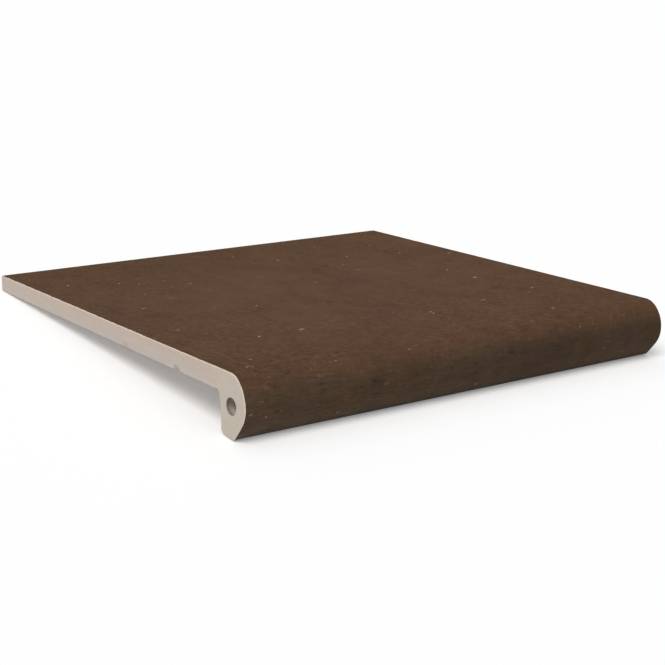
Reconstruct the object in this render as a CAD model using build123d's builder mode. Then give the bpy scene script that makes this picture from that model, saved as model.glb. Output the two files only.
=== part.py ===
from build123d import *
from math import asin, atan2, degrees, hypot, radians, sin
import os

# Stair tread tile: one piece of extruded stoneware, a tapering slab that rolls over
# at the front into a full rounded nose with a lip, which laps over the edge of the step.
# X runs along the nose, the nose faces -Y and the tread faces up.
# The tile lies free on a level floor, on the sole of its lip and on its rear edge.

# Slab
tile_width = 330.0
tile_depth = 316.0
rear_thickness = 11.0
root_thickness = 13.0

# Nose, from the tread round to the toe of the lip
brow_radius = 13.5
brow_turn = 44.0
front_radius = 19.0
undercut_lean = 40.0
undercut_length = 10.7

# Lip, from its toe up to the underside of the slab
lip_thickness = 25.0
sole_radius = 15.0
heel_lift = 2.2
haunch_height = 10.3
haunch_flare = 2.4

# Coring hole that runs through the nose from end to end
bore_diameter = 10.0
bore_setback = 14.0
bore_drop = 19.2

# Small roundings of the section, and the worn edge of the two cut ends
toe_radius = 0.8
heel_radius = 1.2
root_radius = 1.5
rear_radius = 1.0
end_bevel = 0.6

# The section is drawn as laid on a step: x runs back from the front of the nose,
# y runs up from the tread. The two nose arcs meet tangent and the front one bulges to x = 0.
brow_start = front_radius - (front_radius - brow_radius) * sin(radians(brow_turn))

with BuildSketch() as section:
    with BuildLine():
        tread = Line((tile_depth, 0), (brow_start, 0))
        brow = JernArc(tread @ 1, tread % 1, brow_radius, brow_turn)
        front = JernArc(brow @ 1, brow % 1, front_radius, 90 + undercut_lean - brow_turn)
        undercut = PolarLine(front @ 1, undercut_length, direction=front % 1)
        toe = undercut @ 1
        heel = (lip_thickness, toe.Y + heel_lift)
        sole = RadiusArc(toe, heel, -sole_radius)
        haunch = (lip_thickness, -root_thickness - haunch_height)
        root = (lip_thickness + haunch_flare, -root_thickness)
        rear_foot = (tile_depth, -rear_thickness)
        Polyline(heel, haunch, root, rear_foot, tread @ 0)
    make_face()
    corners = section.vertices()
    fillet(corners.sort_by_distance(toe)[0], toe_radius)
    fillet(corners.sort_by_distance(heel)[0], heel_radius)
    fillet(corners.sort_by_distance(root)[0], root_radius)
    fillet(corners.sort_by_distance(tread @ 0)[0], rear_radius)
    with Locations((bore_setback, -bore_drop)):
        Circle(bore_diameter / 2, mode=Mode.SUBTRACT)

# Lying free, the tile leans back until the round sole and the rear foot stand on one level line.
sole_center = sole.arc_center
sole_run = tile_depth - sole_center.X
sole_rise = -rear_thickness - sole_center.Y
lean = degrees(atan2(sole_rise, sole_run) + asin(sole_radius / hypot(sole_run, sole_rise)))
lying = section.sketch.rotate(Axis.Z, -lean)
footprint = lying.bounding_box()
lying_plane = Plane(
    origin=(0, -footprint.center().X, -footprint.min.Y),
    x_dir=(0, 1, 0),
    z_dir=(1, 0, 0),
)

with BuildPart() as stair_tread_tile:
    with BuildSketch(lying_plane):
        add(lying)
    extrude(amount=tile_width / 2, both=True)
    for cut_end in stair_tread_tile.faces().filter_by(Axis.X).sort_by(Axis.X):
        chamfer(cut_end.outer_wire().edges(), end_bevel)

stair_tread_tile.part.label = "stair_tread_tile"
os.makedirs("parts", exist_ok=True)
export_step(stair_tread_tile.part, "parts/stair_tread_tile.step")
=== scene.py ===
import math

import bpy
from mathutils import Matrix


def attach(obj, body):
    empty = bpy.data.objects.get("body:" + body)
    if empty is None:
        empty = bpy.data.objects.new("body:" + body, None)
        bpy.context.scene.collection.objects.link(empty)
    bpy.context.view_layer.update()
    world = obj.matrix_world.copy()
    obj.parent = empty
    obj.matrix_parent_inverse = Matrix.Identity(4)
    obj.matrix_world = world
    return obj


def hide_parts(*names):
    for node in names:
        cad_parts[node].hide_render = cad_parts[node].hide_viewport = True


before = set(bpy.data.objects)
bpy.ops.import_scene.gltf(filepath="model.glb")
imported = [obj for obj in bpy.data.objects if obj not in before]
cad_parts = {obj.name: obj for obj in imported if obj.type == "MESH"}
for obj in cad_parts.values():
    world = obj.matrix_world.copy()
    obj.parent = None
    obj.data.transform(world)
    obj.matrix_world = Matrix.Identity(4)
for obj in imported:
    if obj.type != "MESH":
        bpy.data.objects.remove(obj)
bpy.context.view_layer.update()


# Stair tread tile: one piece of stoneware clay. A tapering slab is pushed through a die together with its
# rolled nose, its lip and the coring hole along the nose, cut to length at both ends, coated with a matt
# brown glaze on tread and nose, and fired in one. It lies free on the sole of the lip and on its rear edge.
tile_width = 0.330
tile_depth = 0.316
rear_thickness = 0.011
root_thickness = 0.013
brow_radius = 0.0135
brow_turn = math.radians(44)
front_radius = 0.019
undercut_lean = math.radians(40)
undercut_length = 0.0107
lip_thickness = 0.025
sole_radius = 0.015
heel_lift = 0.0022
haunch_height = 0.0103
haunch_flare = 0.0024
bore_diameter = 0.010
bore_setback = 0.014
bore_drop = 0.0192
toe_radius = 0.0008
heel_radius = 0.0012
haunch_radius = 0.006
root_radius = 0.0015
foot_radius = 0.0009
rear_radius = 0.001
glaze_lap = 0.0045
tread_spacing = 0.002
bed_spacing = 0.003
nose_spacing = 0.0009
station_count = 201
end_gathering = 1.5
arris_radius = 0.0006
wave_height = 0.00012
dimple_depth = 0.00008
drawn_line_depth = 0.00012
drawn_line_stretch = (1.0, 1.0, 0.012)
worn_width = 0.002
relief_seed = 7
weld_distance = 0.00001


def arc_run(center, radius, start, turn, spacing):
    """Points round an arc of the section, both ends included."""
    count = max(3, math.ceil(abs(turn) * radius / spacing))
    angles = [start + turn * index / count for index in range(count + 1)]
    return [(center[0] + radius * math.cos(a), center[1] + radius * math.sin(a)) for a in angles]


def rounded_corner(before, corner, after, radius):
    """Points of the small arc that rounds a corner between two runs of the section."""
    back = math.atan2(before[1] - corner[1], before[0] - corner[0])
    ahead = math.atan2(after[1] - corner[1], after[0] - corner[0])
    half = math.remainder(ahead - back, math.tau) / 2
    middle = back + half
    reach = radius / abs(math.sin(half))
    center = (corner[0] + reach * math.cos(middle), corner[1] + reach * math.sin(middle))
    side = math.copysign(math.pi / 2, half)
    turn = 2 * half - math.copysign(math.pi, half)
    return arc_run(center, radius, back - side, turn, radius / 3)


section = []


def lay_run(points, coat, spacing):
    """Adds points to the section, with the straight run that leads to them filled in evenly."""
    if section:
        last = section[-1]
        count = max(1, round(math.dist(last[:2], points[0]) / spacing))
        for index in range(1, count):
            share = index / count
            along = last[0] + (points[0][0] - last[0]) * share
            height = last[1] + (points[0][1] - last[1]) * share
            section.append((along, height, last[2] + (coat[0] - last[2]) * share))
    for point, cover in zip(points, coat):
        section.append((point[0], point[1], cover))


# The section is drawn as laid on a step: the first value runs back from the front of the nose,
# the second one up from the tread, and the third one says how far the glaze covers that point.
brow_start = front_radius - (front_radius - brow_radius) * math.sin(brow_turn)
brow = arc_run((brow_start, -brow_radius), brow_radius, math.pi / 2, brow_turn, nose_spacing)
front_heart = front_radius - brow_radius
front_center = (front_radius, -brow_radius - front_heart * math.cos(brow_turn))
front_turn = math.pi / 2 + undercut_lean - brow_turn
front = arc_run(front_center, front_radius, math.pi / 2 + brow_turn, front_turn, nose_spacing)
undercut_run = undercut_length * math.sin(undercut_lean)
undercut_fall = undercut_length * math.cos(undercut_lean)
toe = (front[-1][0] + undercut_run, front[-1][1] - undercut_fall)
heel = (lip_thickness, toe[1] + heel_lift)
haunch = (lip_thickness, -root_thickness - haunch_height)
root = (lip_thickness + haunch_flare, -root_thickness)
rear_foot = (tile_depth, -rear_thickness)
rear_top = (tile_depth, 0)
sole_chord = math.dist(toe, heel)
sole_slope = math.atan2(heel[1] - toe[1], heel[0] - toe[0])
sole_half = math.asin(sole_chord / 2 / sole_radius)
sole_depth = sole_radius * math.cos(sole_half)
sole_x = (toe[0] + heel[0]) / 2 - sole_depth * math.sin(sole_slope)
sole_z = (toe[1] + heel[1]) / 2 + sole_depth * math.cos(sole_slope)
sole_start = sole_slope - math.pi / 2 - sole_half
sole = arc_run((sole_x, sole_z), sole_radius, sole_start, 2 * sole_half, nose_spacing)[1:-1]
sole_coat = [max(0, 1 - (point[0] - toe[0]) / glaze_lap) for point in sole]

rear_arris = rounded_corner(rear_foot, rear_top, (0, 0), rear_radius)
lay_run(rear_arris, [1] * len(rear_arris), tread_spacing)
lay_run(brow, [1] * len(brow), tread_spacing)
lay_run(front[1:], [1] * len(front[1:]), nose_spacing)
toe_arris = rounded_corner(front[-1], toe, sole[0], toe_radius)
lay_run(toe_arris, [1] * len(toe_arris), nose_spacing)
lay_run(sole, sole_coat, nose_spacing)
heel_arris = rounded_corner(sole[-1], heel, haunch, heel_radius)
lay_run(heel_arris, [0] * len(heel_arris), nose_spacing)
haunch_bend = rounded_corner(heel, haunch, root, haunch_radius)
lay_run(haunch_bend, [0] * len(haunch_bend), tread_spacing)
root_bend = rounded_corner(haunch, root, rear_foot, root_radius)
lay_run(root_bend, [0] * len(root_bend), tread_spacing)
foot_arris = rounded_corner(root, rear_foot, rear_top, foot_radius)
lay_run(foot_arris, [0] * len(foot_arris), bed_spacing)
lay_run([(tile_depth, -rear_radius - glaze_lap)], [0], tread_spacing)
lay_run(rear_arris[:1], [1], nose_spacing)
section.pop()

bore_center = (bore_setback, -bore_drop)
bore = arc_run(bore_center, bore_diameter / 2, 0, -math.tau, nose_spacing)[:-1]

# Lying free, the tile leans back until the round sole and the rear foot stand on one level line.
sole_run = tile_depth - sole_x
sole_rise = -rear_thickness - sole_z
lean = math.atan2(sole_rise, sole_run) + math.asin(sole_radius / math.hypot(sole_run, sole_rise))
leaning = [(p[0] * math.cos(lean) + p[1] * math.sin(lean)) for p in section]
shift_back = -(min(leaning) + max(leaning)) / 2
shift_up = sole_radius - sole_z * math.cos(lean) + sole_x * math.sin(lean)


def lay_down(points):
    """Turns points of the section from the step to the floor, flat in the plane that is swept later."""
    across = [p[0] * math.cos(lean) + p[1] * math.sin(lean) + shift_back for p in points]
    upward = [p[1] * math.cos(lean) - p[0] * math.sin(lean) + shift_up for p in points]
    return [(y, z, 0) for y, z in zip(across, upward)]


drawing = bpy.data.meshes.new("tile_section")
drawing.from_pydata(lay_down(section) + lay_down(bore), [], [])
ring = drawing.attributes.new("ring", "INT", "POINT")
ring.data.foreach_set("value", [0] * len(section) + [1] * len(bore))
coat = drawing.attributes.new("coat", "FLOAT", "POINT")
coat.data.foreach_set("value", [point[2] for point in section] + [0.0] * len(bore))
hollow = drawing.attributes.new("hollow", "FLOAT", "POINT")
hollow.data.foreach_set("value", [0.0] * len(section) + [1.0] * len(bore))
tile = bpy.data.objects.new("tread_tile", drawing)
bpy.context.scene.collection.objects.link(tile)


def add_step(tree, kind, options, feeds):
    """Adds one node to a tree, sets its options and feeds its inputs with values or other nodes' results."""
    step = tree.nodes.new(kind)
    for name, value in options.items():
        setattr(step, name, value)
    for socket, value in feeds.items():
        if isinstance(value, bpy.types.NodeSocket):
            tree.links.new(value, step.inputs[socket])
        else:
            step.inputs[socket].default_value = value
    return step


def reckon(tree, operation, *terms):
    """One sum on numbers in a tree."""
    return add_step(tree, "ShaderNodeMath", {"operation": operation}, dict(enumerate(terms))).outputs[0]


# The sweep: the section runs along the tile, close stations at the cut ends let their edge round over,
# the fired skin gets its soft waves and dimples, and the two ends are closed round the coring hole.
sweep = bpy.data.node_groups.new("tile_sweep", "GeometryNodeTree")
sweep.interface.new_socket("Section", in_out="INPUT", socket_type="NodeSocketGeometry")
length_in = sweep.interface.new_socket("Length", in_out="INPUT", socket_type="NodeSocketFloat")
stations_in = sweep.interface.new_socket("Stations", in_out="INPUT", socket_type="NodeSocketInt")
gathering_in = sweep.interface.new_socket("Gathering", in_out="INPUT", socket_type="NodeSocketFloat")
arris_in = sweep.interface.new_socket("Arris radius", in_out="INPUT", socket_type="NodeSocketFloat")
wave_in = sweep.interface.new_socket("Wave height", in_out="INPUT", socket_type="NodeSocketFloat")
dimple_in = sweep.interface.new_socket("Dimple depth", in_out="INPUT", socket_type="NodeSocketFloat")
drag_in = sweep.interface.new_socket("Drag depth", in_out="INPUT", socket_type="NodeSocketFloat")
worn_in = sweep.interface.new_socket("Worn width", in_out="INPUT", socket_type="NodeSocketFloat")
seed_in = sweep.interface.new_socket("Seed", in_out="INPUT", socket_type="NodeSocketInt")
finish_in = sweep.interface.new_socket("Finish", in_out="INPUT", socket_type="NodeSocketMaterial")
sweep.interface.new_socket("Tile", in_out="OUTPUT", socket_type="NodeSocketGeometry")
given = add_step(sweep, "NodeGroupInput", {}, {}).outputs
half_length = reckon(sweep, "MULTIPLY", given["Length"], 0.5)

ring_number = add_step(sweep, "GeometryNodeInputNamedAttribute", {"data_type": "INT"}, {"Name": "ring"})
order = add_step(sweep, "GeometryNodeInputIndex", {}, {})
dots = add_step(sweep, "GeometryNodeMeshToPoints", {}, {"Mesh": given["Section"]})
loops = add_step(
    sweep,
    "GeometryNodePointsToCurves",
    {},
    {"Points": dots.outputs[0], "Curve Group ID": ring_number.outputs[0], "Weight": order.outputs[0]},
)
closed_loops = add_step(
    sweep, "GeometryNodeSetSplineCyclic", {}, {"Geometry": loops.outputs[0], "Cyclic": True}
)

near_end = add_step(sweep, "ShaderNodeCombineXYZ", {}, {"Z": reckon(sweep, "MULTIPLY", half_length, -1)})
far_end = add_step(sweep, "ShaderNodeCombineXYZ", {}, {"Z": half_length})
rail = add_step(
    sweep, "GeometryNodeCurvePrimitiveLine", {}, {"Start": near_end.outputs[0], "End": far_end.outputs[0]}
)
stations = add_step(
    sweep, "GeometryNodeResampleCurve", {}, {"Curve": rail.outputs[0], "Count": given["Stations"]}
)
share = add_step(sweep, "GeometryNodeSplineParameter", {}, {}).outputs["Factor"]
balance = reckon(sweep, "MULTIPLY_ADD", share, 2.0, -1.0)
from_end = reckon(sweep, "SUBTRACT", 1.0, reckon(sweep, "ABSOLUTE", balance))
gathered = reckon(sweep, "SUBTRACT", 1.0, reckon(sweep, "POWER", from_end, given["Gathering"]))
signed = reckon(sweep, "MULTIPLY", gathered, reckon(sweep, "SIGN", balance))
station_place = add_step(
    sweep, "ShaderNodeCombineXYZ", {}, {"Z": reckon(sweep, "MULTIPLY", signed, half_length)}
)
placed_rail = add_step(
    sweep,
    "GeometryNodeSetPosition",
    {},
    {"Geometry": stations.outputs[0], "Position": station_place.outputs[0]},
)
skin = add_step(
    sweep,
    "GeometryNodeCurveToMesh",
    {},
    {"Curve": placed_rail.outputs[0], "Profile Curve": closed_loops.outputs[0]},
)

place = add_step(sweep, "GeometryNodeInputPosition", {}, {}).outputs[0]
place_along = add_step(sweep, "ShaderNodeSeparateXYZ", {}, {"Vector": place}).outputs["Z"]
end_distance = reckon(sweep, "SUBTRACT", half_length, reckon(sweep, "ABSOLUTE", place_along))
four_ways = {"noise_dimensions": "4D"}
chips = add_step(
    sweep,
    "ShaderNodeTexNoise",
    four_ways,
    {"Vector": place, "W": given["Seed"], "Scale": 160.0, "Detail": 3.0, "Roughness": 0.6},
)
chip_size = add_step(
    sweep,
    "ShaderNodeMapRange",
    {"interpolation_type": "SMOOTHSTEP"},
    {"Value": chips.outputs[0], "From Min": 0.4, "From Max": 0.85, "To Min": 0.8, "To Max": 1.25},
)
local_arris = reckon(sweep, "MULTIPLY", given["Arris radius"], chip_size.outputs[0])
overlap = reckon(sweep, "DIVIDE", reckon(sweep, "SUBTRACT", local_arris, end_distance), local_arris)
rounding = reckon(sweep, "MAXIMUM", reckon(sweep, "MINIMUM", overlap, 1.0), 0.0)
chord = reckon(sweep, "SQRT", reckon(sweep, "SUBTRACT", 1.0, reckon(sweep, "POWER", rounding, 2.0)))
hollow_here = add_step(sweep, "GeometryNodeInputNamedAttribute", {"data_type": "FLOAT"}, {"Name": "hollow"})
outside = reckon(sweep, "SUBTRACT", 1.0, hollow_here.outputs[0])
end_round = reckon(sweep, "MULTIPLY", local_arris, reckon(sweep, "SUBTRACT", 1.0, chord))
end_inset = reckon(sweep, "MULTIPLY", end_round, outside)

waves = add_step(
    sweep,
    "ShaderNodeTexNoise",
    four_ways,
    {"Vector": place, "W": given["Seed"], "Scale": 26.0, "Detail": 2.0, "Roughness": 0.45},
)
wave_inset = reckon(sweep, "MULTIPLY", waves.outputs[0], given["Wave height"])
pits = add_step(
    sweep,
    "ShaderNodeTexNoise",
    four_ways,
    {"Vector": place, "W": given["Seed"], "Scale": 130.0, "Detail": 1.0, "Roughness": 0.5},
)
pit_depth = add_step(
    sweep,
    "ShaderNodeMapRange",
    {"interpolation_type": "SMOOTHSTEP"},
    {"Value": pits.outputs[0], "From Min": 0.6, "From Max": 0.82, "To Min": 0.0, "To Max": 1.0},
)
pit_inset = reckon(sweep, "MULTIPLY", pit_depth.outputs[0], given["Dimple depth"])
drawn_out = add_step(
    sweep, "ShaderNodeVectorMath", {"operation": "MULTIPLY"}, {0: place, 1: drawn_line_stretch}
)
drag = add_step(
    sweep,
    "ShaderNodeTexNoise",
    four_ways,
    {"Vector": drawn_out.outputs[0], "W": given["Seed"], "Scale": 190.0, "Detail": 2.0},
)
cover = add_step(sweep, "GeometryNodeInputNamedAttribute", {"data_type": "FLOAT"}, {"Name": "coat"})
bare = reckon(sweep, "SUBTRACT", 1.0, cover.outputs[0])
drag_depth = reckon(sweep, "MULTIPLY", reckon(sweep, "MULTIPLY", drag.outputs[0], bare), given["Drag depth"])
relief = reckon(sweep, "ADD", reckon(sweep, "ADD", wave_inset, pit_inset), drag_depth)
inset = reckon(sweep, "MULTIPLY", reckon(sweep, "ADD", end_inset, relief), -1.0)
outward = add_step(sweep, "GeometryNodeInputNormal", {}, {}).outputs["Normal"]
sunk = add_step(sweep, "ShaderNodeVectorMath", {"operation": "SCALE"}, {0: outward, "Scale": inset})
worn = reckon(sweep, "SUBTRACT", 1.0, reckon(sweep, "DIVIDE", end_distance, given["Worn width"]))
marked_skin = add_step(
    sweep,
    "GeometryNodeStoreNamedAttribute",
    {"data_type": "FLOAT", "domain": "POINT"},
    {"Geometry": skin.outputs[0], "Name": "worn", "Value": reckon(sweep, "MAXIMUM", worn, 0.0)},
)
fired_skin = add_step(
    sweep, "GeometryNodeSetPosition", {}, {"Geometry": marked_skin.outputs[0], "Offset": sunk.outputs[0]}
)
smooth_skin = add_step(sweep, "GeometryNodeSetShadeSmooth", {}, {"Geometry": fired_skin.outputs[0]})

faces_met = add_step(sweep, "GeometryNodeInputMeshEdgeNeighbors", {}, {}).outputs[0]
open_edge = add_step(
    sweep, "FunctionNodeCompare", {"data_type": "INT", "operation": "EQUAL"}, {2: faces_met, 3: 1}
)
ends = []
for side in (-1.0, 1.0):
    on_side = reckon(sweep, "GREATER_THAN", reckon(sweep, "MULTIPLY", place_along, side), 0.0)
    rim_edge = add_step(
        sweep, "FunctionNodeBooleanMath", {"operation": "AND"}, {0: open_edge.outputs[0], 1: on_side}
    )
    rim = add_step(
        sweep,
        "GeometryNodeMeshToCurve",
        {},
        {"Mesh": smooth_skin.outputs[0], "Selection": rim_edge.outputs[0]},
    )
    cut_face = add_step(sweep, "GeometryNodeFillCurve", {"mode": "TRIANGLES"}, {"Curve": rim.outputs[0]})
    end_place = add_step(
        sweep, "ShaderNodeCombineXYZ", {}, {"Z": reckon(sweep, "MULTIPLY", half_length, side)}
    )
    cut_end = add_step(
        sweep,
        "GeometryNodeSetPosition",
        {},
        {"Geometry": cut_face.outputs[0], "Offset": end_place.outputs[0]},
    )
    outward_end = cut_end
    if side < 0:
        outward_end = add_step(sweep, "GeometryNodeFlipFaces", {}, {"Mesh": cut_end.outputs[0]})
    marked_end = add_step(
        sweep,
        "GeometryNodeStoreNamedAttribute",
        {"data_type": "FLOAT", "domain": "FACE"},
        {"Geometry": outward_end.outputs[0], "Name": "cut", "Value": 1.0},
    )
    worn_end = add_step(
        sweep,
        "GeometryNodeStoreNamedAttribute",
        {"data_type": "FLOAT", "domain": "POINT"},
        {"Geometry": marked_end.outputs[0], "Name": "worn", "Value": 1.0},
    )
    flat_end = add_step(
        sweep,
        "GeometryNodeSetShadeSmooth",
        {},
        {"Geometry": worn_end.outputs[0], "Shade Smooth": False},
    )
    ends.append(flat_end.outputs[0])
whole = add_step(sweep, "GeometryNodeJoinGeometry", {}, {"Geometry": smooth_skin.outputs[0]})
for end in ends:
    sweep.links.new(end, whole.inputs[0])
sealed = add_step(
    sweep, "GeometryNodeMergeByDistance", {}, {"Geometry": whole.outputs[0], "Distance": weld_distance}
)
upright = add_step(sweep, "GeometryNodeTransform", {}, {"Geometry": sealed.outputs[0]})
upright.inputs["Rotation"].default_value = (math.pi / 2, 0, math.pi / 2)
solid = add_step(sweep, "GeometryNodeRealizeInstances", {}, {"Geometry": upright.outputs[0]})
finished = add_step(
    sweep,
    "GeometryNodeSetMaterial",
    {},
    {"Geometry": solid.outputs[0], "Material": given["Finish"]},
)
add_step(sweep, "NodeGroupOutput", {}, {0: finished.outputs[0]})

# Finish: a matt brown glaze with faint red and olive clouds, pale grains, dark pits and a few hairlines,
# over a buff body that shows on the cut ends, the bed, the lip's back, and where the arris is worn.
stoneware = bpy.data.materials.new("stoneware")
stoneware.use_nodes = True
fired = stoneware.node_tree
fired.nodes.clear()
spot = add_step(fired, "ShaderNodeTexCoord", {}, {}).outputs["Object"]


def speckle(scale, detail, roughness, stretch=(1.0, 1.0, 1.0), drift=(0.0, 0.0, 0.0)):
    """Noise on the tile's own coordinates, in cells per metre, drawn out where stretch is below one."""
    laid = add_step(fired, "ShaderNodeMapping", {}, {"Vector": spot, "Location": drift, "Scale": stretch})
    noise = add_step(
        fired,
        "ShaderNodeTexNoise",
        {},
        {"Vector": laid.outputs[0], "Scale": scale, "Detail": detail, "Roughness": roughness},
    )
    return noise.outputs[0]


def between(value, low, high, low_result, high_result):
    """Eases a number from one range to another."""
    eased = add_step(
        fired,
        "ShaderNodeMapRange",
        {"interpolation_type": "SMOOTHSTEP"},
        {"Value": value, "From Min": low, "From Max": high, "To Min": low_result, "To Max": high_result},
    )
    return eased.outputs[0]


def grains(scale, radius, stretch=(1.0, 1.0, 1.0), drift=(0.0, 0.0, 0.0), ragged=0.0009):
    """Scattered ragged grains of mixed sizes, 1 inside and 0 outside, and a random number for each."""
    shake = add_step(fired, "ShaderNodeTexNoise", {}, {"Vector": spot, "Scale": 620.0, "Detail": 1.0})
    centred = add_step(
        fired,
        "ShaderNodeVectorMath",
        {"operation": "SUBTRACT"},
        {0: shake.outputs["Color"], 1: (0.5, 0.5, 0.5)},
    )
    moved = add_step(
        fired,
        "ShaderNodeVectorMath",
        {"operation": "MULTIPLY_ADD"},
        {0: centred.outputs[0], 1: (ragged * 2, ragged * 2, ragged * 2), 2: spot},
    )
    laid = add_step(
        fired, "ShaderNodeMapping", {}, {"Vector": moved.outputs[0], "Location": drift, "Scale": stretch}
    )
    cells = add_step(fired, "ShaderNodeTexVoronoi", {}, {"Vector": laid.outputs[0], "Scale": scale})
    luck = add_step(fired, "ShaderNodeSeparateColor", {}, {0: cells.outputs["Color"]})
    own_size = reckon(fired, "MULTIPLY_ADD", luck.outputs[1], 0.9, 0.55)
    from_heart = reckon(fired, "DIVIDE", cells.outputs["Distance"], own_size)
    return between(from_heart, radius * 0.4, radius, 1.0, 0.0), luck.outputs[0]


def tint(first, second, factor):
    """Mixes two colours."""
    mixed = add_step(fired, "ShaderNodeMix", {"data_type": "RGBA"}, {0: factor, 6: first, 7: second})
    return mixed.outputs[2]


def deepen(colour, factor):
    """Makes a colour lighter or darker."""
    scaled = add_step(fired, "ShaderNodeVectorMath", {"operation": "SCALE"}, {0: colour, "Scale": factor})
    return scaled.outputs[0]


def blend(first, second, factor):
    """Mixes two numbers."""
    mixed = add_step(fired, "ShaderNodeMix", {"data_type": "FLOAT"}, {0: factor, 2: first, 3: second})
    return mixed.outputs[0]


glaze_red = (0.1075, 0.0554, 0.0332, 1.0)
glaze_olive = (0.1028, 0.0564, 0.0325, 1.0)
glaze_edge = (0.1003, 0.0528, 0.0276, 1.0)
nose_shade_olive = (0.0800, 0.0536, 0.0292, 1.0)
nose_shade_plum = (0.0800, 0.0500, 0.0344, 1.0)
nose_foot_painted_light = (0.0850, 0.0650, 0.0456, 1.0)
grain_pale = (0.60, 0.48, 0.38, 1.0)
pit_and_shadow_dark = (0.045, 0.029, 0.019, 1.0)
hairline_pale = (0.165, 0.103, 0.074, 1.0)

spot_axes = add_step(fired, "ShaderNodeSeparateXYZ", {}, {"Vector": spot}).outputs
along_nose = spot_axes["X"]
along_depth = spot_axes["Y"]
above_floor = spot_axes["Z"]
left_end = -tile_width / 2
right_end = tile_width / 2
brow_crest = -0.149
tread_front = -0.141
on_nose = between(along_depth, brow_crest, tread_front, 1.0, 0.0)
on_front = reckon(fired, "MULTIPLY", on_nose, between(above_floor, 0.026, 0.038, 1.0, 0.0))
on_foot = reckon(fired, "MULTIPLY", on_nose, between(above_floor, 0.0025, 0.0105, 1.0, 0.0))

# The rim of the tread is rubbed more than its middle, and the nose most at its left end.
tread_middle = (0.0, 0.03, 0.0)
tread_reach = (0.165, 0.13, 1.0)
rim_spot = add_step(
    fired,
    "ShaderNodeMapping",
    {"vector_type": "TEXTURE"},
    {"Vector": spot, "Location": tread_middle, "Scale": tread_reach},
)
rim_length = add_step(fired, "ShaderNodeVectorMath", {"operation": "LENGTH"}, {0: rim_spot.outputs[0]})
rim_share = rim_length.outputs["Value"]
tread_scuff = between(rim_share, 0.3, 1.1, 0.8, 1.5)
nose_scuff = between(along_nose, left_end, right_end, 1.6, 1.0)
scuff = blend(tread_scuff, nose_scuff, on_nose)
grain_scuff = blend(tread_scuff, 0.6, on_nose)

# Clouds of red and olive lie on the tread and its edges are browner. The front of the nose is painted darker
# and greener as cool shade, and its underside lighter and greyer as cool light from below.
clouds = between(speckle(30.0, 2.0, 0.5), 0.33, 0.67, -0.5, 0.5)
cloud_share = reckon(fired, "MULTIPLY_ADD", clouds, between(rim_share, 0.4, 1.0, 0.5, 0.9), 0.5)
glaze = tint(glaze_red, glaze_olive, cloud_share)
behind_brow = between(along_depth, brow_crest, -0.138, 0.0, 1.0)
front_edge = reckon(fired, "MULTIPLY", behind_brow, between(along_depth, -0.130, -0.100, 0.75, 0.0))
rear_edge = between(along_depth, 0.05, 0.14, 0.0, 1.0)
right_edge = between(along_nose, 0.05, 0.16, 0.0, 0.7)
edge_share = reckon(fired, "MAXIMUM", reckon(fired, "MAXIMUM", front_edge, rear_edge), right_edge)
glaze = tint(glaze, glaze_edge, edge_share)
nose_clouds = between(speckle(55.0, 2.0, 0.5, drift=(0.6, 1.4, 0.8)), 0.36, 0.64, 0.0, 1.0)
# Painted shade: the front of the nose is tinted darker and greener, mixed between two shaded tones by
# clouds.
nose_shade_share = reckon(fired, "MULTIPLY", on_front, between(clouds, -0.4, 0.4, 0.75, 1.0))
glaze = tint(glaze, tint(nose_shade_olive, nose_shade_plum, nose_clouds), nose_shade_share)
# Painted light: the underside of the nose is tinted lighter and greyer, for the cool light it gets from
# below.
glaze = tint(glaze, nose_foot_painted_light, on_foot)

# Light and dark of the glaze: broad stains, blotches, patches, mottle and fine grain, painted light low on
# the undercut and at the nose's left end, and a painted shade band across the front of the nose.
plain_level = 0.67
broad_strength = 0.30
blotch_strength = 0.36
tread_patch_strength = 0.38
nose_patch_strength = 0.24
mottle_strength = 0.75
fine_grain_strength = 0.45
fine_level = -0.60
mottle = speckle(330.0, 3.0, 0.6, stretch=(1.0, 0.65, 1.0))
patches = speckle(75.0, 2.0, 0.5, stretch=(1.0, 0.65, 1.0), drift=(0.7, 0.2, 0.4))
blotches = speckle(30.0, 2.0, 0.5, stretch=(1.0, 0.75, 1.0), drift=(2.1, 0.9, 0.4))
streaks = speckle(900.0, 2.0, 0.5, stretch=(0.1, 1.0, 1.0), drift=(0.4, 0.2, 0.3))
fine_grain = speckle(1300.0, 2.0, 0.6)
broad = speckle(11.0, 1.0, 0.5, drift=(0.3, 0.1, 0.7))
fine_depth = reckon(fired, "MULTIPLY_ADD", mottle, mottle_strength, fine_level)
fine_depth = reckon(fired, "MULTIPLY_ADD", fine_grain, fine_grain_strength, fine_depth)
patch_strength = blend(tread_patch_strength, nose_patch_strength, on_nose)
patch_depth = reckon(fired, "MULTIPLY", reckon(fired, "SUBTRACT", patches, 0.5), patch_strength)
depth = reckon(fired, "ADD", patch_depth, plain_level)
depth = reckon(fired, "MULTIPLY_ADD", blotches, blotch_strength, depth)
depth = reckon(fired, "MULTIPLY_ADD", broad, broad_strength, depth)
depth = reckon(fired, "MULTIPLY_ADD", fine_depth, grain_scuff, depth)
depth = reckon(fired, "MULTIPLY", depth, between(rim_share, 0.1, 0.7, 1.03, 1.0))
depth = reckon(fired, "MULTIPLY", depth, between(along_depth, 0.02, 0.12, 1.0, 0.95))
depth = reckon(fired, "MULTIPLY", depth, between(along_depth, -0.145, -0.09, 0.97, 1.0))
# Painted light: the glaze is lightened low on the undercut, against the shade that falls there near the
# floor.
undercut_painted_light = reckon(fired, "MULTIPLY", on_nose, between(above_floor, 0.004, 0.020, 0.22, 0.0))
depth = reckon(fired, "MULTIPLY", depth, reckon(fired, "ADD", undercut_painted_light, 1.0))
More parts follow.
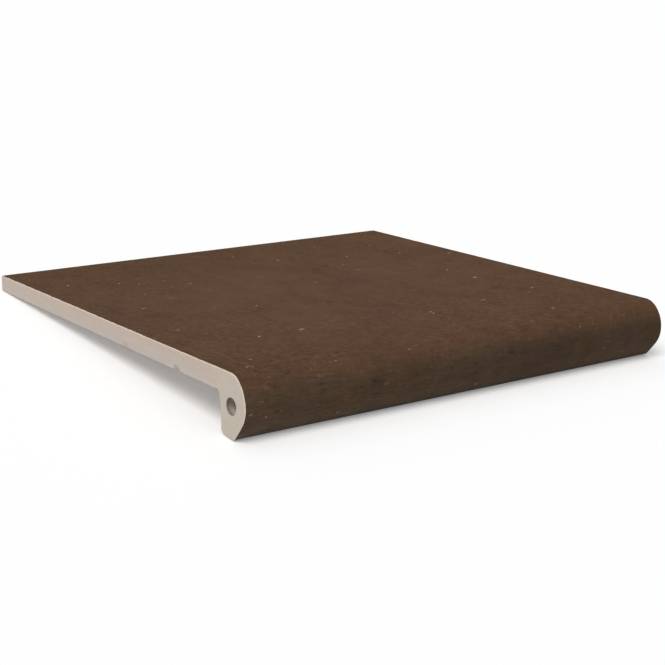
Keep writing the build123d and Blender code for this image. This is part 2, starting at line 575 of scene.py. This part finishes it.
# Painted light: the front of the nose is lighter towards its left end and darker towards its right, as the
# light falls along it.
nose_painted_light = between(along_nose, left_end, right_end, 0.08, -0.09)
nose_painted_light = reckon(fired, "ADD", nose_painted_light, between(along_nose, left_end, -0.10, 0.12, 0.0))
depth = reckon(fired, "MULTIPLY", depth, reckon(fired, "MULTIPLY_ADD", nose_painted_light, on_front, 1.0))
# Painted shade: a band across the front of the nose, a little below its top, is darkened, more from the
# middle to the right end.
bulge_low = between(above_floor, 0.019, 0.024, 0.0, 1.0)
bulge_high = between(above_floor, 0.026, 0.033, 1.0, 0.0)
bulge = reckon(fired, "MULTIPLY", reckon(fired, "MULTIPLY", bulge_low, bulge_high), on_nose)
nose_band_painted_shade = between(along_nose, left_end, 0.0, -0.04, -0.11)
depth = reckon(fired, "MULTIPLY", depth, reckon(fired, "MULTIPLY_ADD", nose_band_painted_shade, bulge, 1.0))

# Streaks and short strokes run along the nose, with freckles and dark spatter all over.
streak_strength = 0.45
near_nose = between(along_depth, -0.140, -0.100, 1.0, 0.2)
streak_change = reckon(fired, "MULTIPLY", reckon(fired, "SUBTRACT", streaks, 0.5), near_nose)
stroke, stroke_luck = grains(400.0, 0.27, stretch=(0.26, 1.0, 1.0), drift=(0.3, 0.2, 0.9), ragged=0.0004)
stroke = reckon(fired, "MULTIPLY", stroke, near_nose)
stroke_dark = reckon(fired, "MULTIPLY", stroke, between(stroke_luck, 0.1, 0.55, 0.26, 0.0))
stroke_pale = reckon(fired, "MULTIPLY", stroke, between(stroke_luck, 0.65, 1.0, 0.0, 0.32))
freckle, freckle_luck = grains(240.0, 0.25, stretch=(0.9, 0.6, 1.0), drift=(0.8, 0.5, 1.9), ragged=0.0007)
freckle_field = between(speckle(26.0, 2.0, 0.5, drift=(0.2, 1.1, 3.0)), 0.38, 0.62, 0.35, 1.0)
freckle = reckon(fired, "MULTIPLY", freckle, freckle_field)
freckle_dark = reckon(fired, "MULTIPLY", freckle, between(freckle_luck, 0.1, 0.5, 0.26, 0.0))
freckle_pale = reckon(fired, "MULTIPLY", freckle, between(freckle_luck, 0.7, 1.0, 0.0, 0.24))
stroke_change = reckon(fired, "SUBTRACT", stroke_pale, stroke_dark)
freckle_change = reckon(fired, "SUBTRACT", freckle_pale, freckle_dark)
stroke_change = reckon(fired, "ADD", stroke_change, freckle_change)
stroke_change = reckon(fired, "MULTIPLY_ADD", streak_change, streak_strength, stroke_change)
stroke_change = reckon(fired, "MULTIPLY", stroke_change, scuff)
spatter, spatter_luck = grains(95.0, 0.32, stretch=(0.8, 0.8, 1.0), drift=(1.3, 0.4, 2.2), ragged=0.003)
spatter_dark = reckon(fired, "MULTIPLY", spatter, between(spatter_luck, 0.45, 1.0, 0.0, 0.17))
stroke_change = reckon(fired, "SUBTRACT", stroke_change, spatter_dark)
depth = reckon(fired, "MULTIPLY", depth, reckon(fired, "ADD", stroke_change, 1.0))
glaze = deepen(glaze, depth)

# Thin pale scratches wander here and there.
scratch = speckle(60.0, 3.0, 0.55, drift=(1.7, 0.4, 0.2))
scratch_off = reckon(fired, "ABSOLUTE", reckon(fired, "SUBTRACT", scratch, 0.5))
scratch_here = between(speckle(42.0, 1.0, 0.5, drift=(0.9, 2.3, 0.5)), 0.60, 0.68, 0.0, 0.45)
scratch_fill = reckon(fired, "MULTIPLY", between(scratch_off, 0.004, 0.012, 1.0, 0.0), scratch_here)
glaze = tint(glaze, hairline_pale, scratch_fill)

# One fine pale hairline runs back from the brow, close to the left end.
hairline_inset = 0.0165
hairline_sway = 0.010
hairline_wander = reckon(fired, "SUBTRACT", speckle(85.0, 2.0, 0.5, drift=(0.2, 0.1, 0.6)), 0.5)
hairline_bend = reckon(fired, "MULTIPLY_ADD", hairline_wander, hairline_sway, along_nose)
hairline_across = reckon(fired, "ADD", hairline_bend, right_end - hairline_inset)
hairline_off = reckon(fired, "ABSOLUTE", hairline_across)
hairline_start = between(along_depth, -0.146, -0.138, 0.0, 1.0)
hairline_end = between(along_depth, -0.104, -0.092, 0.55, 0.0)
hairline_here = reckon(fired, "MULTIPLY", hairline_start, hairline_end)
hairline = reckon(fired, "MULTIPLY", between(hairline_off, 0.0002, 0.0008, 1.0, 0.0), hairline_here)
glaze = tint(glaze, hairline_pale, hairline)

# Dark pits, and pale flecks of grit that each have a painted shadow on one side.
fleck_scale = 190.0
fleck_stretch = (0.5, 0.95, 1.0)
fleck_ragged = 0.0013
pit, pit_luck = grains(150.0, 0.17, drift=(2.0, 0.7, 0.1))
pit_fill = reckon(fired, "MULTIPLY", pit, between(pit_luck, 0.5, 1.0, 0.0, 0.8))
pit_fill = reckon(fired, "MULTIPLY", pit_fill, blend(1.0, 0.6, on_nose))
glaze = tint(glaze, pit_and_shadow_dark, pit_fill)
fleck_place = (0.37, 2.2, 0.6)
fleck_shadow_drift = (0.37, 2.2009, 0.6)
fleck_field = between(rim_share, 0.15, 0.6, 0.35, 1.0)
# Painted shadow: a dark copy of each fleck, shifted a little, stands for the shade the fleck casts. It uses
# the pits' dark colour.
fleck_shadow, fleck_shadow_luck = grains(fleck_scale, 0.17, stretch=fleck_stretch, drift=fleck_shadow_drift, ragged=fleck_ragged)
fleck_shadow_fill = reckon(fired, "MULTIPLY", fleck_shadow, between(fleck_shadow_luck, 0.86, 1.0, 0.0, 0.6))
glaze = tint(glaze, pit_and_shadow_dark, reckon(fired, "MULTIPLY", fleck_shadow_fill, fleck_field))
fleck, fleck_luck = grains(fleck_scale, 0.15, stretch=fleck_stretch, drift=fleck_place, ragged=fleck_ragged)
fleck_rank = reckon(fired, "POWER", between(fleck_luck, 0.80, 1.0, 0.0, 1.0), 1.6)
fleck_fill = reckon(fired, "MULTIPLY", reckon(fired, "MULTIPLY", fleck, fleck_rank), fleck_field)
fleck_fill = reckon(fired, "MULTIPLY", fleck_fill, between(along_depth, -0.150, -0.135, 0.4, 1.0))
glaze = tint(glaze, grain_pale, fleck_fill)

# The clay under the glaze: warm buff close under the tread, with a painted cool shade that greys it towards
# the bed, broken up by clouds, and greyer in the nose.
clay_warm = (0.661, 0.543, 0.454, 1.0)
clay_cool_shade = (0.634, 0.568, 0.500, 1.0)
clay_nose = (0.672, 0.604, 0.508, 1.0)
clay_blush = (0.676, 0.552, 0.492, 1.0)
arris_painted_highlight = (0.80, 0.67, 0.57, 1.0)
clay_speck_and_shadow = (0.38, 0.285, 0.24, 1.0)
clay_chip = (0.68, 0.60, 0.56, 1.0)
bore_mouth_shade = (0.250, 0.206, 0.186, 1.0)
bore_deep = (0.60, 0.49, 0.41, 1.0)
clay_level = 0.88
clay_grain_strength = 0.16
drawn_strength = 0.08
fold_strength = 0.12
grog_strength = 0.4
tread_up = (0.0, math.sin(lean), math.cos(lean))
tread_spot = lay_down([(0.0, 0.0)])[0]
tread_level = tread_spot[0] * tread_up[1] + tread_spot[1] * tread_up[2]
spot_level = add_step(fired, "ShaderNodeVectorMath", {"operation": "DOT_PRODUCT"}, {0: spot, 1: tread_up})
under_tread = reckon(fired, "SUBTRACT", tread_level, spot_level.outputs["Value"])
clay_cloud = between(speckle(38.0, 3.0, 0.5, drift=(0.5, 0.5, 0.5)), 0.3, 0.7, -0.35, 0.35)
# Painted shade: the clay turns cooler and greyer with depth below the tread, for the cool light from below.
clay_shade_share = reckon(fired, "ADD", between(under_tread, 0.001, 0.010, 0.0, 1.0), clay_cloud)
clay_shade_share = reckon(fired, "MINIMUM", reckon(fired, "MAXIMUM", clay_shade_share, 0.0), 1.0)
clay = tint(clay_warm, clay_cool_shade, clay_shade_share)
clay = tint(clay, clay_nose, between(along_depth, -0.138, -0.115, 0.8, 0.0))
blush = speckle(75.0, 2.0, 0.5, drift=(1.2, 0.3, 0.9))
clay = tint(clay, clay_blush, between(blush, 0.48, 0.66, 0.0, 0.6))
clay_grain = speckle(900.0, 3.0, 0.65)
drawn = speckle(650.0, 2.0, 0.5, stretch=(0.02, 1.0, 1.0))
cut = add_step(fired, "ShaderNodeAttribute", {"attribute_name": "cut"}, {}).outputs["Fac"]
uncut = reckon(fired, "SUBTRACT", 1.0, cut)
drawn_depth = reckon(fired, "MULTIPLY", uncut, drawn)
folds = speckle(420.0, 3.0, 0.55, stretch=(1.0, 0.12, 1.0), drift=(0.2, 0.6, 0.1))
fold_depth = reckon(fired, "MULTIPLY", cut, reckon(fired, "SUBTRACT", folds, 0.5))
clay_depth = reckon(fired, "MULTIPLY_ADD", clay_grain, clay_grain_strength, clay_level)
clay_depth = reckon(fired, "MULTIPLY_ADD", drawn_depth, drawn_strength, clay_depth)
clay_depth = reckon(fired, "MULTIPLY_ADD", fold_depth, fold_strength, clay_depth)
clay = deepen(clay, clay_depth)
grog, grog_luck = grains(330.0, 0.16, drift=(0.4, 0.8, 1.5))
grog_share = reckon(fired, "MULTIPLY", grog_luck, grog_strength)
clay = tint(clay, clay_speck_and_shadow, reckon(fired, "MULTIPLY", grog, grog_share))
end_wear = add_step(fired, "ShaderNodeAttribute", {"attribute_name": "worn"}, {}).outputs["Fac"]
coat_cover = add_step(fired, "ShaderNodeAttribute", {"attribute_name": "coat"}, {}).outputs["Fac"]
coated_rim = reckon(fired, "MULTIPLY", uncut, coat_cover)
# Where the glaze is rubbed off the arris of the cut ends the clay shows, and there it is painted paler than
# the clay: a painted highlight along the edge.
arris_highlight_here = reckon(fired, "MULTIPLY", coated_rim, between(end_wear, 0.5, 0.8, 0.0, 1.0))
clay = tint(clay, arris_painted_highlight, arris_highlight_here)
# Painted shade: the bore's wall is darkened over its first few millimetres from each mouth, against the
# light that falls in there.
in_bore = add_step(fired, "ShaderNodeAttribute", {"attribute_name": "hollow"}, {}).outputs["Fac"]
mouth_reach = 0.0044
mouth_fade = 0.0040
from_mouth = reckon(fired, "SUBTRACT", right_end, reckon(fired, "ABSOLUTE", along_nose))
mouth_shade_share = between(from_mouth, mouth_reach - mouth_fade, mouth_reach, 1.0, 0.0)
bore_wall = tint(bore_deep, bore_mouth_shade, mouth_shade_share)
clay = tint(clay, bore_wall, reckon(fired, "MULTIPLY", in_bore, uncut))
end_mark_drop = rear_thickness + 0.0012


def end_mark(under, along, colour, strength, reach):
    """A ragged soft mark on the lower edge of the left end, so far back from the nose."""
    mark = lay_down([(along, -end_mark_drop)])[0]
    laid = add_step(
        fired,
        "ShaderNodeMapping",
        {"vector_type": "TEXTURE"},
        {"Vector": spot, "Location": (left_end, mark[0], mark[1]), "Scale": reach},
    )
    away = add_step(fired, "ShaderNodeVectorMath", {"operation": "LENGTH"}, {0: laid.outputs[0]})
    ragged = reckon(fired, "MULTIPLY_ADD", speckle(420.0, 2.0, 0.5), 1.1, away.outputs["Value"])
    return tint(under, colour, between(ragged, 0.9, 1.6, strength, 0.0))


# A pale chip on the lower edge of the left end, a painted shadow beside it nearer the nose, and a fainter
# dark mark further back.
clay = end_mark(clay, along=0.0775, colour=clay_chip, strength=0.6, reach=(0.003, 0.0050, 0.0034))
clay = end_mark(clay, along=0.0725, colour=clay_speck_and_shadow, strength=0.62, reach=(0.003, 0.0050, 0.0040))
clay = end_mark(clay, along=0.1340, colour=clay_speck_and_shadow, strength=0.30, reach=(0.003, 0.0058, 0.0036))

# The clay shows past the ragged edge of the glaze, and where the end's arris is rubbed bare.
lap_ragged = 0.55
wear_ragged = 0.5
ragged_edge = reckon(fired, "SUBTRACT", speckle(150.0, 3.0, 0.55, drift=(1.0, 1.0, 0.0)), 0.5)
lap = reckon(fired, "MULTIPLY_ADD", ragged_edge, lap_ragged, coat_cover)
lap_bare = between(lap, 0.44, 0.56, 1.0, 0.0)
wear = reckon(fired, "MULTIPLY_ADD", ragged_edge, wear_ragged, end_wear)
wear_bare = between(wear, 0.72, 0.84, 0.0, 1.0)
bare_clay = reckon(fired, "MAXIMUM", reckon(fired, "MAXIMUM", lap_bare, wear_bare), cut)
colour = tint(glaze, clay, bare_clay)

# The feel of the two surfaces: both matt, with heights in millimetres.
glaze_roughness = 0.85
mottle_roughness = 0.16
clay_roughness = 0.92
shine = 0.08
mottle_height = 0.06
fine_grain_height = 0.035
pit_height = -0.12
fleck_height = 0.04
clay_grain_height = 0.09
drawn_height = 0.10
millimetre = 0.001
glaze_rough = reckon(fired, "MULTIPLY_ADD", mottle, mottle_roughness, glaze_roughness)
rough = blend(glaze_rough, clay_roughness, bare_clay)
glaze_height = reckon(fired, "MULTIPLY", mottle, mottle_height)
glaze_height = reckon(fired, "MULTIPLY_ADD", fine_grain, fine_grain_height, glaze_height)
glaze_height = reckon(fired, "MULTIPLY_ADD", pit_fill, pit_height, glaze_height)
glaze_height = reckon(fired, "MULTIPLY_ADD", fleck_fill, fleck_height, glaze_height)
clay_height = reckon(fired, "MULTIPLY", drawn_depth, drawn_height)
clay_height = reckon(fired, "MULTIPLY_ADD", clay_grain, clay_grain_height, clay_height)
height = blend(glaze_height, clay_height, bare_clay)
bump = add_step(fired, "ShaderNodeBump", {}, {"Strength": 1.0, "Distance": millimetre, "Height": height})
body = add_step(
    fired,
    "ShaderNodeBsdfPrincipled",
    {},
    {"Base Color": colour, "Roughness": rough, "Normal": bump.outputs[0]},
)
body.inputs["Specular IOR Level"].default_value = shine
add_step(fired, "ShaderNodeOutputMaterial", {}, {"Surface": body.outputs[0]})

sweeper = tile.modifiers.new("sweep", "NODES")
sweeper.node_group = sweep
sweeper[length_in.identifier] = tile_width
sweeper[stations_in.identifier] = station_count
sweeper[gathering_in.identifier] = end_gathering
sweeper[arris_in.identifier] = arris_radius
sweeper[wave_in.identifier] = wave_height
sweeper[dimple_in.identifier] = dimple_depth
sweeper[drag_in.identifier] = drawn_line_depth
sweeper[worn_in.identifier] = worn_width
sweeper[seed_in.identifier] = relief_seed
sweeper[finish_in.identifier] = stoneware
worked_out = bpy.context.evaluated_depsgraph_get()
swept = bpy.data.meshes.new_from_object(
    tile.evaluated_get(worked_out), preserve_all_data_layers=True, depsgraph=worked_out
)
tile.modifiers.remove(sweeper)
tile.data = swept
swept.name = "tread_tile"
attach(tile, "root")
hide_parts("stair_tread_tile")


# Floor: a wide sheet of pale studio paper that runs out of the picture on every side.
# It takes the tile's soft shadow and is lifted to white for the camera alone.
floor_reach = 6.0
paper_pale = (0.86, 0.86, 0.86, 1.0)
paper_lift = 0.23
floor_sheet = bpy.data.meshes.new("floor")
floor_corners = [(x * floor_reach, y * floor_reach, 0.0) for x, y in ((-1, -1), (1, -1), (1, 1), (-1, 1))]
floor_sheet.from_pydata(floor_corners, [], [(0, 1, 2, 3)])
floor = bpy.data.objects.new("floor", floor_sheet)
bpy.context.scene.collection.objects.link(floor)
paper = bpy.data.materials.new("studio_paper")
paper.use_nodes = True
sheet = paper.node_tree
sheet.nodes.clear()


def seen_directly(tree):
    """1 for rays that come straight from the camera or by way of a gloss or a glass, 0 for the rest."""
    ray = add_step(tree, "ShaderNodeLightPath", {}, {}).outputs
    mirrored = reckon(tree, "MAXIMUM", ray["Is Glossy Ray"], ray["Is Transmission Ray"])
    return reckon(tree, "MAXIMUM", ray["Is Camera Ray"], mirrored)


matt = add_step(sheet, "ShaderNodeBsdfDiffuse", {}, {"Color": paper_pale})
lift = reckon(sheet, "MULTIPLY", seen_directly(sheet), paper_lift)
glow = add_step(sheet, "ShaderNodeEmission", {}, {"Strength": lift})
both = add_step(sheet, "ShaderNodeAddShader", {}, {0: matt.outputs[0], 1: glow.outputs[0]})
add_step(sheet, "ShaderNodeOutputMaterial", {}, {"Surface": both.outputs[0]})
floor_sheet.materials.append(paper)


# Light: a white room, brighter overhead than along its walls, and one broad soft lamp high on the left.
# The lamp is a touch warmer than the room, as a lamp in a daylit studio is.
wall_level = 0.06
ceiling_level = 0.56
lamp_level = 1.95
lamp_warmth = (1.0, 0.965, 0.945)
room_tone = (0.95, 1.0, 1.03, 1.0)
backdrop_white = (1.0, 1.0, 1.0, 1.0)
lamp_spread = math.radians(32)
lamp_turn = (math.radians(17), math.radians(-30), 0.0)
room = bpy.data.worlds.new("white_room")
room.use_nodes = True
air = room.node_tree
air.nodes.clear()
aim = add_step(air, "ShaderNodeTexCoord", {}, {}).outputs["Generated"]
rise = add_step(air, "ShaderNodeSeparateXYZ", {}, {"Vector": aim}).outputs["Z"]
gradient = add_step(
    air,
    "ShaderNodeMapRange",
    {},
    {"Value": rise, "From Min": 0.0, "From Max": 1.0, "To Min": wall_level, "To Max": ceiling_level},
)
room_light = add_step(
    air, "ShaderNodeBackground", {}, {"Color": room_tone, "Strength": gradient.outputs[0]}
)
backdrop = add_step(air, "ShaderNodeBackground", {}, {"Color": backdrop_white, "Strength": 1.0})
choice = add_step(
    air,
    "ShaderNodeMixShader",
    {},
    {0: seen_directly(air), 1: room_light.outputs[0], 2: backdrop.outputs[0]},
)
add_step(air, "ShaderNodeOutputWorld", {}, {"Surface": choice.outputs[0]})
bpy.context.scene.world = room
lamp = bpy.data.lights.new("soft_lamp", "SUN")
lamp.energy = lamp_level
lamp.color = lamp_warmth
lamp.angle = lamp_spread
lamp_stand = bpy.data.objects.new("soft_lamp", lamp)
lamp_stand.rotation_euler = lamp_turn
bpy.context.scene.collection.objects.link(lamp_stand)


# Camera: a portrait lens low in front of the left end, where the photograph was taken from.
# It stands about a metre off and is rolled a little, so that the tile lies in the picture as it does there.
lens_length = 79.97
sensor_width = 36.0
camera_place = (-0.5775, -0.7752, 0.3181)
camera_turn = (math.radians(71.447), math.radians(-3.753), math.radians(-35.909))
lens = bpy.data.cameras.new("camera")
lens.lens = lens_length
lens.sensor_width = sensor_width
camera = bpy.data.objects.new("camera", lens)
camera.location = camera_place
camera.rotation_euler = camera_turn
bpy.context.scene.collection.objects.link(camera)
bpy.context.scene.camera = camera
bpy.context.scene.view_settings.view_transform = "Standard"
